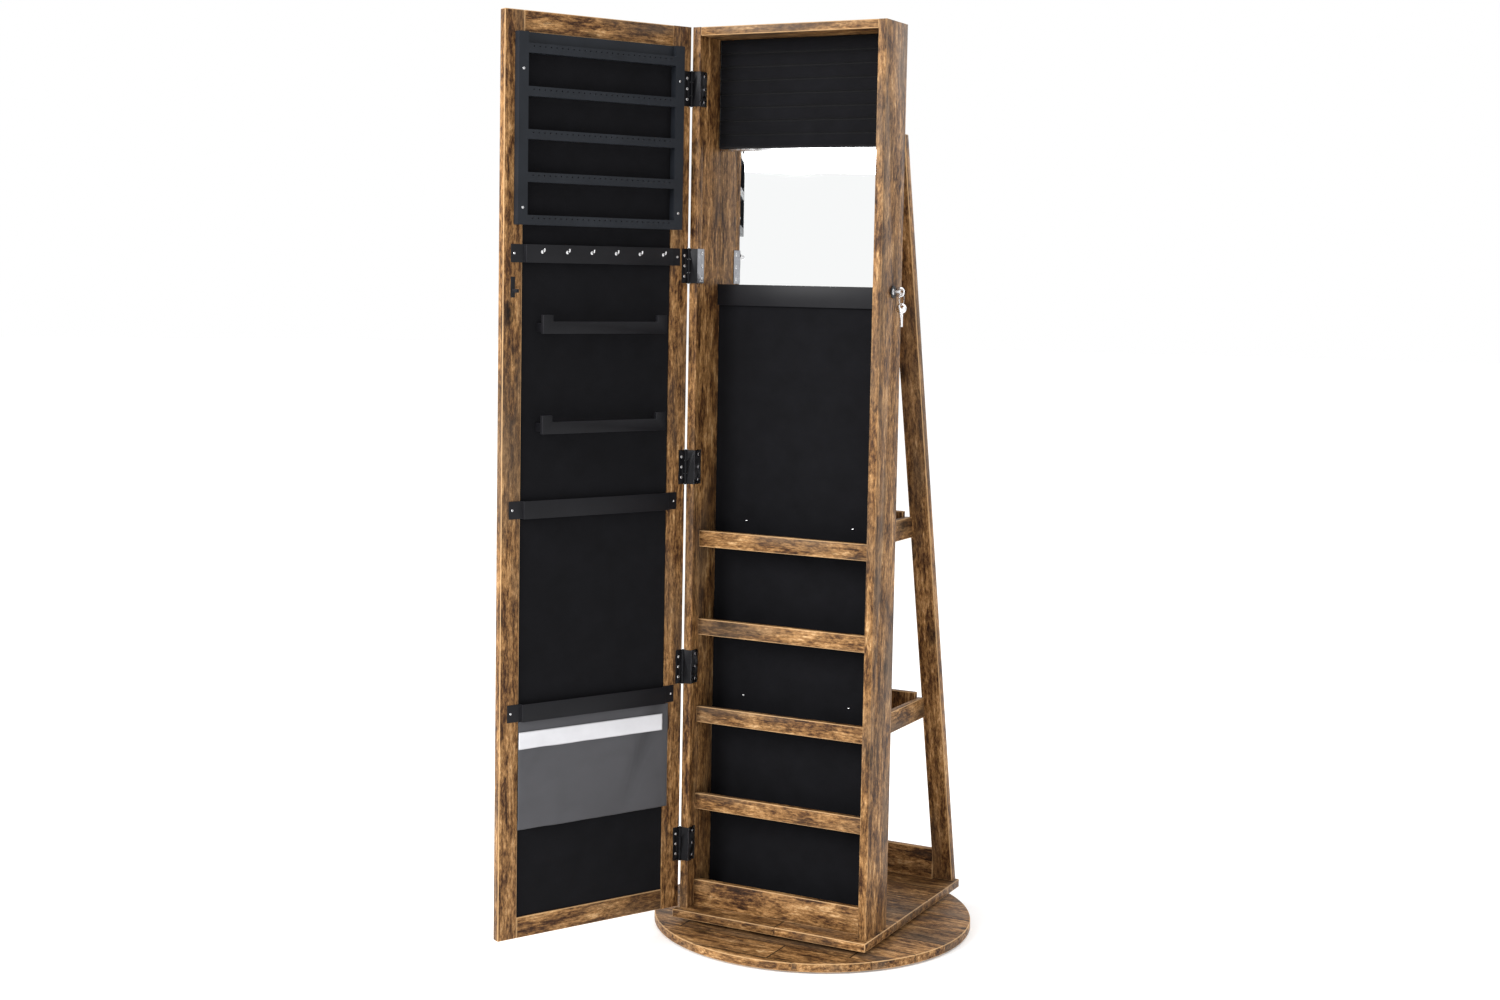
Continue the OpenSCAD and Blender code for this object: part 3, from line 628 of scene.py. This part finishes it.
class ARMOIRE_OT_finishes(ArmoireStep):
    """Makes the finishes and puts them on the pieces of the frame that stay"""

    bl_idname = "armoire.finishes"
    bl_label = "Finishes"

    def build(self):
        palette = colours()
        FINISHES.update(
            rustic_wood=wood("rustic_wood_print"),
            planks=wood("plank_print", planks=True),
            dark_velvet=velvet("black_velvet"),
            mirror_glass=silvered("silvered_glass"),
            bright_steel=plated("bright_plated_steel", (0.72, 0.72, 0.73), 0.24),
            dark_rack=paint("charcoal_powder_paint", palette.charcoal, 0.42),
            dark_metal=paint("black_powder_paint", palette.black, 0.45),
            hinge_metal=paint("black_hinge_paint", Vector(palette.black) * 0.8, 0.32, 0.3),
            hinge_bright=plated("bright_hinge_steel", (0.3, 0.3, 0.32), 0.34),
            foot_pad=plain("black_pad_plastic", (0.02, 0.02, 0.02), 0.7),
            cage_plastic=plain("natural_nylon", (0.6, 0.6, 0.55), 0.5),
            grey_film=woven("grey_pouch_cloth", palette.film, 420, 0.75, 0.15),
            white_band=woven("white_tape", palette.tape, 260, 0.8, 0.2),
            # Near black: painted shade inside the cross recesses of the screws.
            recess=plain("painted_recess_shade", (0.01, 0.01, 0.01), 0.6),
        )
        for node, made in NODES.items():
            for slot in made.material_slots:
                slot.material = finish_of(node)


class ARMOIRE_OT_boards(ArmoireStep):
    """Gives every wooden board rounded edges, paled partly as wear and partly as a painted highlight, and a
    grain of its own
    """

    bl_idname = "armoire.boards"
    bl_label = "Wooden boards"

    def build(self):
        width = sizes().board_ease
        wooden = [part["node"] for part in RECORD["subparts"] if part["material_slot"] == "rustic_wood"]
        for seed, node in enumerate(wooden, 11):
            if node in ("base_disc", "platform"):
                eased(node, width, FINISHES["planks"], along=0, seed=seed)
            elif node.startswith("rear_leg"):
                eased(node, width, into=self.leg_frame(node), along=2, seed=seed)
            elif "fences" in node:
                eased(node, width, along=1, seed=seed)
            else:
                eased(node, width, seed=seed)

    @staticmethod
    def leg_frame(node):
        """Frame in which the leaning leg stands upright."""
        low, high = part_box(node)
        lean = math.atan2(high.y - low.y, high.z - low.z)
        return Matrix.Rotation(lean, 4, "X").inverted()


class ARMOIRE_OT_cushion(ArmoireStep):
    """Makes the ring cushion with its soft rolls"""

    bl_idname = "armoire.cushion"
    bl_label = "Ring cushion"

    def build(self):
        low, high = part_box("ring_cushion")
        rolls = sizes().cushion_rolls
        puff = sizes().roll_puff
        pitch = (high.z - low.z) / rolls
        columns, per_roll = 72, 16
        rows = rolls * per_roll
        depth = 0.0068
        builder = bmesh.new()

        def front(i, j):
            """Place of a point on the front of the rolls."""
            x = low.x + (high.x - low.x) * i / columns
            z = low.z + (high.z - low.z) * j / rows
            across = ((j % per_roll) / per_roll - 0.5) * 2
            crown = math.sqrt(max(0.0, 1 - abs(across) ** 2.6)) if j % per_roll else 0.0
            end = min(i, columns - i) / columns * (high.x - low.x)
            crown *= min(1.0, (end / 0.004) ** 0.5) if end < 0.004 else 1.0
            wave = noise.noise(Vector((x * 26, z * 40, 3.3))) * puff * (0.35 + crown)
            sag = noise.noise(Vector((x * 9, round(z / pitch - 0.5) * 7.7, 8.1))) * puff
            y = low.y + depth * (1 - crown) - min(0.0, wave) * 0.5 + max(0.0, wave + sag)
            return Vector((x, y, z + sag * 0.6 * (1 if 0 < j < rows else 0)))

        grid = [[builder.verts.new(front(i, j)) for i in range(columns + 1)] for j in range(rows + 1)]
        back = [[builder.verts.new((v.co.x, high.y, v.co.z)) for v in grid[j]] for j in (0, rows)]
        for j in range(rows):
            for i in range(columns):
                builder.faces.new((grid[j][i], grid[j][i + 1], grid[j + 1][i + 1], grid[j + 1][i]))
        for i in range(columns):
            builder.faces.new((back[0][i], back[0][i + 1], grid[0][i + 1], grid[0][i]))
            builder.faces.new((grid[rows][i], grid[rows][i + 1], back[1][i + 1], back[1][i]))
        builder.faces.new([back[0][0]] + [grid[j][0] for j in range(rows + 1)] + [back[1][0]])
        builder.faces.new(
            [back[1][columns]] + [grid[j][columns] for j in range(rows, -1, -1)] + [back[0][columns]]
        )
        builder.faces.new(back[1] + back[0][::-1])
        bmesh.ops.recalc_face_normals(builder, faces=builder.faces)
        made = mesh_object("ring_cushion_rolls", builder, [FINISHES["dark_velvet"]], 50)
        stand_for(made, "ring_cushion")


class ARMOIRE_OT_pouch(ArmoireStep):
    """Makes the grey pouch with its fold, and the white band across it"""

    bl_idname = "armoire.pouch"
    bl_label = "Pouch and band"

    def build(self):
        low, high = closed_box("pouch")
        band_low, band_high = closed_box("pouch_band")
        thick = sizes().cloth
        bulge = sizes().pouch_bulge
        near = low.y + 0.0012
        shoulder = closed_box("plain_bars")[0].z - 0.0006
        tops = [p[0] for p in points_of("pouch", OFF_DOOR) if p[2] > high.z - 1e-4]
        tongue = (min(tops), max(tops))

        def fold_off(u, v):
            """How far a point lies from the soft fold that runs down and across the pouch."""
            return u - 0.1 - 0.24 * (0.85 - v)

        # Painted shade along the soft fold, stronger higher up on the pouch.
        def shade(x, z):
            u = (x - low.x) / (high.x - low.x)
            v = (z - low.z) / (high.z - low.z)
            return 0.5 * math.exp(-(fold_off(u, v) / 0.06) ** 2) * max(0.0, min(1.0, 2 * v - 0.2))

        def surface(x, z):
            """Depth of the cloth: flat at its sides and below the bar, fuller lower down."""
            u = (x - low.x) / (high.x - low.x)
            v = (z - low.z) / (high.z - low.z)
            full = (max(0.0, math.sin(math.pi * u)) ** 0.35) * min(1.0, 1.6 * (1 - v) + 0.12)
            fold = math.exp(-(fold_off(u, v) / 0.05) ** 2) * 0.0014 * min(1.0, 4 * v * (1 - v))
            ripple = noise.noise(Vector((x * 16, z * 11, 1.7))) * 0.0005
            return near + bulge * full - fold + ripple

        def full_width(z):
            return (low.x, high.x) if z <= shoulder else tongue

        def over_cloth(x, z):
            return max(surface(x, z) + thick * 1.6, near + bulge)

        cloth = self.sheet("pouch_cloth", (low.z, shoulder, high.z), full_width, surface, "pouch", shade)
        tape = self.sheet(
            "pouch_tape",
            (band_low.z, band_high.z, band_high.z),
            lambda z: (band_low.x, band_high.x),
            over_cloth,
            "pouch_band",
            lambda x, z: 0.0,
        )

    @staticmethod
    def sheet(name, heights, width_at, depth, node, shade):
        """A thin cloth from the lowest height to the highest; the middle one is where its width may step."""
        bottom, middle, top = heights
        columns, pitch = 120, 0.0026
        rows = max(4, round((middle - bottom) / pitch))
        levels = [bottom + (middle - bottom) * j / rows for j in range(rows + 1)]
        if top > middle:
            levels += [middle + 0.0004 + (top - middle - 0.0004) * j / 6 for j in range(7)]
        thick = sizes().cloth
        builder = bmesh.new()
        grid = []
        for j, level in enumerate(levels):
            left, right = width_at(level)
            line = []
            for i in range(columns + 1):
                x = left + (right - left) * i / columns
                z = level
                if i == columns:
                    x -= abs(noise.noise(Vector((level * 90, 2.2, 5.0)))) * 0.0012
                if j == 0:
                    z += noise.noise(Vector((x * 30, 7.0, 0.4))) * 0.0006 + 0.0006
                line.append(builder.verts.new(ON_DOOR @ Vector((x, depth(x, z), z))))
            grid.append(line)
        for one, two in zip(grid, grid[1:]):
            for i in range(columns):
                builder.faces.new((one[i], two[i], two[i + 1], one[i + 1]))
        made = mesh_object(name, builder, [finish_of(node)], 60)
        solid = made.modifiers.new("cloth thickness", "SOLIDIFY")
        solid.thickness = thick
        solid.offset = 0
        grain_of(made, OFF_DOOR, 0, 5)
        # Darkening of the cloth: 0.6 along the top and bottom rows, the fold's painted shade in between.
        dark = made.data.attributes.new("wear_and_painted_light", "FLOAT", "POINT")
        for index, item in enumerate(dark.data):
            place = OFF_DOOR @ made.data.vertices[index].co
            edge = index // (columns + 1) in (0, len(levels) - 1)
            item.value = 0.6 if edge else shade(place.x, place.z)
        return stand_for(made, node)


class ARMOIRE_OT_hooks(ArmoireStep):
    """Makes the six curved hooks on the hook bar"""

    bl_idname = "armoire.hooks"
    bl_label = "Hooks"

    def build(self):
        builder = bmesh.new()
        for group in solids_of("bar_hooks"):
            points = np.array([OFF_DOOR @ p for p in group])
            low, high = points.min(0), points.max(0)
            radius = (high[0] - low[0]) / 4
            x = (low[0] + high[0]) / 2
            z = low[2] + (high[0] - low[0]) / 2
            start, end, top = low[1], high[1], high[2]
            bend = 0.0032
            path = [Vector((x, start + (end - radius - bend - start) * k / 4, z)) for k in range(5)]
            middle = Vector((x, end - radius - bend, z + bend))
            for k in range(1, 9):
                angle = math.pi / 2 * k / 8
                path.append(middle + Vector((0, math.sin(angle), -math.cos(angle))) * bend)
            path += [path[-1] + Vector((0, 0, (top - path[-1].z - 0.0004) * k / 3)) for k in (1, 2, 3)]
            tube(builder, [ON_DOOR @ p for p in path], radius * 0.92, 14)
            turned(
                builder,
                [(radius * 2, 0), (radius * 2, 0.0005), (radius * 1.5, 0.001)],
                facing(ON_DOOR @ Vector((x, start, z)), ON_DOOR.to_3x3() @ Vector((0, 1, 0))),
                20,
            )
        stand_for(mesh_object("bar_hooks_curved", builder, [FINISHES["bright_steel"]], 40), "bar_hooks")


class ARMOIRE_OT_screws(ArmoireStep):
    """Makes the screws of the cabinet and the door, with dark crosses painted as the shade of cross recesses
    """

    bl_idname = "armoire.screws"
    bl_label = "Screws"

    DOMED_HEAD = 0.0008
    FLUSH_HEAD = 0.00025
    LONG_SCREW = 0.004
    SHORTEST_SHAFT = 0.002

    def build(self):
        for node in ("cabinet_screws", "door_screws"):
            into = into_of(node)
            back = into.inverted()
            builder = bmesh.new()
            for group in solids_of(node):
                points = np.array([into @ p for p in group])
                low, high = Vector(points.min(0)), Vector(points.max(0))
                size, middle = high - low, (low + high) / 2
                if node == "door_screws":
                    axis, sign = 1, 1
                elif size.x > size.z or (abs(size.y - size.z) < 1e-5 and size.x < size.y):
                    axis, sign = 0, 1
                elif abs(size.x - size.y) < 1e-5:
                    axis, sign = 2, -1
                else:
                    axis, sign = 1, -1
                radius = sorted(size)[1] / 2
                outward = Vector([sign if k == axis else 0 for k in range(3)])
                shaft = max(0.0, size[axis] - self.DOMED_HEAD)
                tip = middle.copy()
                tip[axis] = (high if sign > 0 else low)[axis]
                flush = node == "door_screws" and size[axis] > self.LONG_SCREW
                head = self.FLUSH_HEAD if flush else min(self.DOMED_HEAD, size[axis])
                base = tip - outward * head
                place = back @ base
                normal = back.to_3x3() @ outward
                screw_head(builder, facing(place, normal), radius, head)
                if shaft > self.SHORTEST_SHAFT:
                    turned(
                        builder,
                        [(radius * 0.5, 0.0), (radius * 0.5, shaft)],
                        facing(back @ (tip - outward * (head + shaft)), normal),
                        12,
                    )
            made = mesh_object(f"{node}_crossed", builder, [FINISHES["bright_steel"], FINISHES["recess"]], 35)
            stand_for(made, node)


class ARMOIRE_OT_hinges(ArmoireStep):
    """Gives the hinge leaves rounded edges, black in front and bright inside the cabinet"""

    bl_idname = "armoire.hinges"
    bl_label = "Hinges"

    def build(self):
        width = sizes().metal_ease
        eased("door_hinge_leaves", width, smooth=35)
        leaves = eased("cabinet_hinge_leaves", width, smooth=35)
        leaves.data.materials.append(FINISHES["hinge_bright"])
        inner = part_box("left_board")[1].x
        for face in leaves.data.polygons:
            if face.center.x > inner:
                face.material_index = 1
        eased("hinge_pins", width, FINISHES["hinge_metal"], smooth=35)


class ARMOIRE_OT_metalwork(ArmoireStep):
    """Gives the bars, the lock and the keys rounded edges"""

    bl_idname = "armoire.metalwork"
    bl_label = "Bars, lock and keys"

    def build(self):
        width = sizes().metal_ease
        for node in ("hook_bar", "plain_bars", "bracelet_bars", "necklace_bar", "lock_strike", "lock_cam"):
            eased(node, width * 1.4, smooth=35)
        for node, share in (("mirror_trim", 2), ("key", 1), ("spare_key", 1)):
            eased(node, width * share, smooth=35)
        eased("foot_pads", sizes().pad_ease)


class ARMOIRE_OT_key_ring(ArmoireStep):
    """Makes the split key ring"""

    bl_idname = "armoire.key_ring"
    bl_label = "Key ring"

    def build(self):
        low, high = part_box("key_ring")
        middle = (low + high) / 2
        wire = (high.x - low.x) / 4
        coil = (high.z - low.z) / 2 - wire
        turns, steps = 1.85, 96
        builder = bmesh.new()
        path = []
        for k in range(steps + 1):
            angle = math.pi * 0.15 + 2 * math.pi * turns * k / steps
            side = (k / steps - 0.5) * 2 * wire
            path.append(middle + Vector((side, math.cos(angle) * coil, math.sin(angle) * coil)))
        tube(builder, path, wire * 0.95, 10)
        stand_for(mesh_object("key_ring_split", builder, [FINISHES["bright_steel"]], 60), "key_ring")


class ARMOIRE_OT_stage(ArmoireStep):
    """Makes the floor, the light and the camera"""

    bl_idname = "armoire.stage"
    bl_label = "Stage"

    CAMERA = (1.5376, -3.2312, 1.1726)
    YAW, PITCH, ROLL = 27.519, -4.692, 1.049
    FOCAL = 1999.15 / 1500
    SHIFT_UP = -0.04
    AIM = (0, -0.1, 0.8)
    # Name, place in metres, size in metres and power in watts
    LAMPS = (
        ("key", (-1.9, -3.8, 2.6), 2.2, 200),
        ("fill", (2.6, -3.4, 1.6), 2.2, 6),
        ("back", (1.6, 3.4, 2.6), 2.0, 30),
    )

    def build(self):
        scene = bpy.context.scene
        scene.view_settings.view_transform = "Standard"
        scene.view_settings.look = "None"
        self.floor()
        self.lights(scene)
        self.camera(scene)

    @staticmethod
    def floor():
        builder = bmesh.new()
        bmesh.ops.create_circle(builder, cap_ends=True, segments=96, radius=30)
        material, tree, shader = blank("pale_floor", roughness=0.9, specular_ior_level=0.1)
        place = add(tree, "ShaderNodeTexCoord").outputs["Object"]
        cloud = clouds(tree, stretch(tree, place, 1.5, 1.5), 3)
        tree.links.new(ramp(tree, cloud, [(0.3, grey(0.93)), (0.7, grey(0.95))]), shader.inputs["Base Color"])
        shader.inputs["Emission Color"].default_value = (1, 1, 1, 1)
        shader.inputs["Emission Strength"].default_value = 0.18
        made = mesh_object("floor", builder, [material])

    def lights(self, scene):
        world = scene.world or bpy.data.worlds.new("studio")
        scene.world = world
        world.use_nodes = True
        ground = world.node_tree.nodes["Background"]
        ground.inputs["Color"].default_value = (1, 1, 1, 1)
        ground.inputs["Strength"].default_value = 1.0
        for name, place, size, power in self.LAMPS:
            lamp = bpy.data.lights.new(name, "AREA")
            lamp.energy = power
            lamp.size = size
            made = bpy.data.objects.new(name, lamp)
            made.location = place
            aim = Vector(self.AIM) - Vector(place)
            made.rotation_euler = aim.to_track_quat("-Z", "Y").to_euler()
            scene.collection.objects.link(made)

    def camera(self, scene):
        yaw, pitch, roll = (math.radians(a) for a in (self.YAW, self.PITCH, self.ROLL))
        ahead = Vector((-math.sin(yaw) * math.cos(pitch), math.cos(yaw) * math.cos(pitch), math.sin(pitch)))
        right = Vector((math.cos(yaw), math.sin(yaw), 0))
        up = right.cross(ahead)
        across = right * math.cos(roll) + up * math.sin(roll)
        upward = up * math.cos(roll) - right * math.sin(roll)
        data = bpy.data.cameras.new("view")
        data.sensor_width = 36
        data.lens = self.FOCAL * data.sensor_width
        data.shift_y = self.SHIFT_UP
        data.clip_end = 200
        made = bpy.data.objects.new("view", data)
        turn = Matrix((across, upward, -ahead)).transposed()
        made.matrix_world = Matrix.Translation(self.CAMERA) @ turn.to_4x4()
        scene.collection.objects.link(made)
        scene.camera = made


class ARMOIRE_PT_steps(bpy.types.Panel):
    """Lists the steps and the values that they use."""

    bl_label = "Jewelry Armoire"
    bl_idname = "ARMOIRE_PT_steps"
    bl_space_type = "VIEW_3D"
    bl_region_type = "UI"
    bl_category = "Armoire"

    def draw(self, context):
        column = self.layout.column()
        for group in (sizes(), colours()):
            for name in group.__annotations__:
                column.prop(group, name)
        for step in STEPS:
            column.operator(step.bl_idname)


STEPS = (
    ARMOIRE_OT_finishes,
    ARMOIRE_OT_boards,
    ARMOIRE_OT_cushion,
    ARMOIRE_OT_pouch,
    ARMOIRE_OT_hooks,
    ARMOIRE_OT_screws,
    ARMOIRE_OT_hinges,
    ARMOIRE_OT_metalwork,
    ARMOIRE_OT_key_ring,
    ARMOIRE_OT_stage,
)
CLASSES = (ArmoireSizes, ArmoireColours, *STEPS, ARMOIRE_PT_steps)


def register():
    for kind in CLASSES:
        bpy.utils.register_class(kind)
    bpy.types.Scene.armoire_sizes = PointerProperty(type=ArmoireSizes)
    bpy.types.Scene.armoire_colours = PointerProperty(type=ArmoireColours)


def unregister():
    del bpy.types.Scene.armoire_colours
    del bpy.types.Scene.armoire_sizes
    for kind in reversed(CLASSES):
        bpy.utils.unregister_class(kind)


def main():
    register()
    for step in STEPS:
        area, name = step.bl_idname.split(".")
        getattr(getattr(bpy.ops, area), name)()


if __name__ == "__main__":
    main()
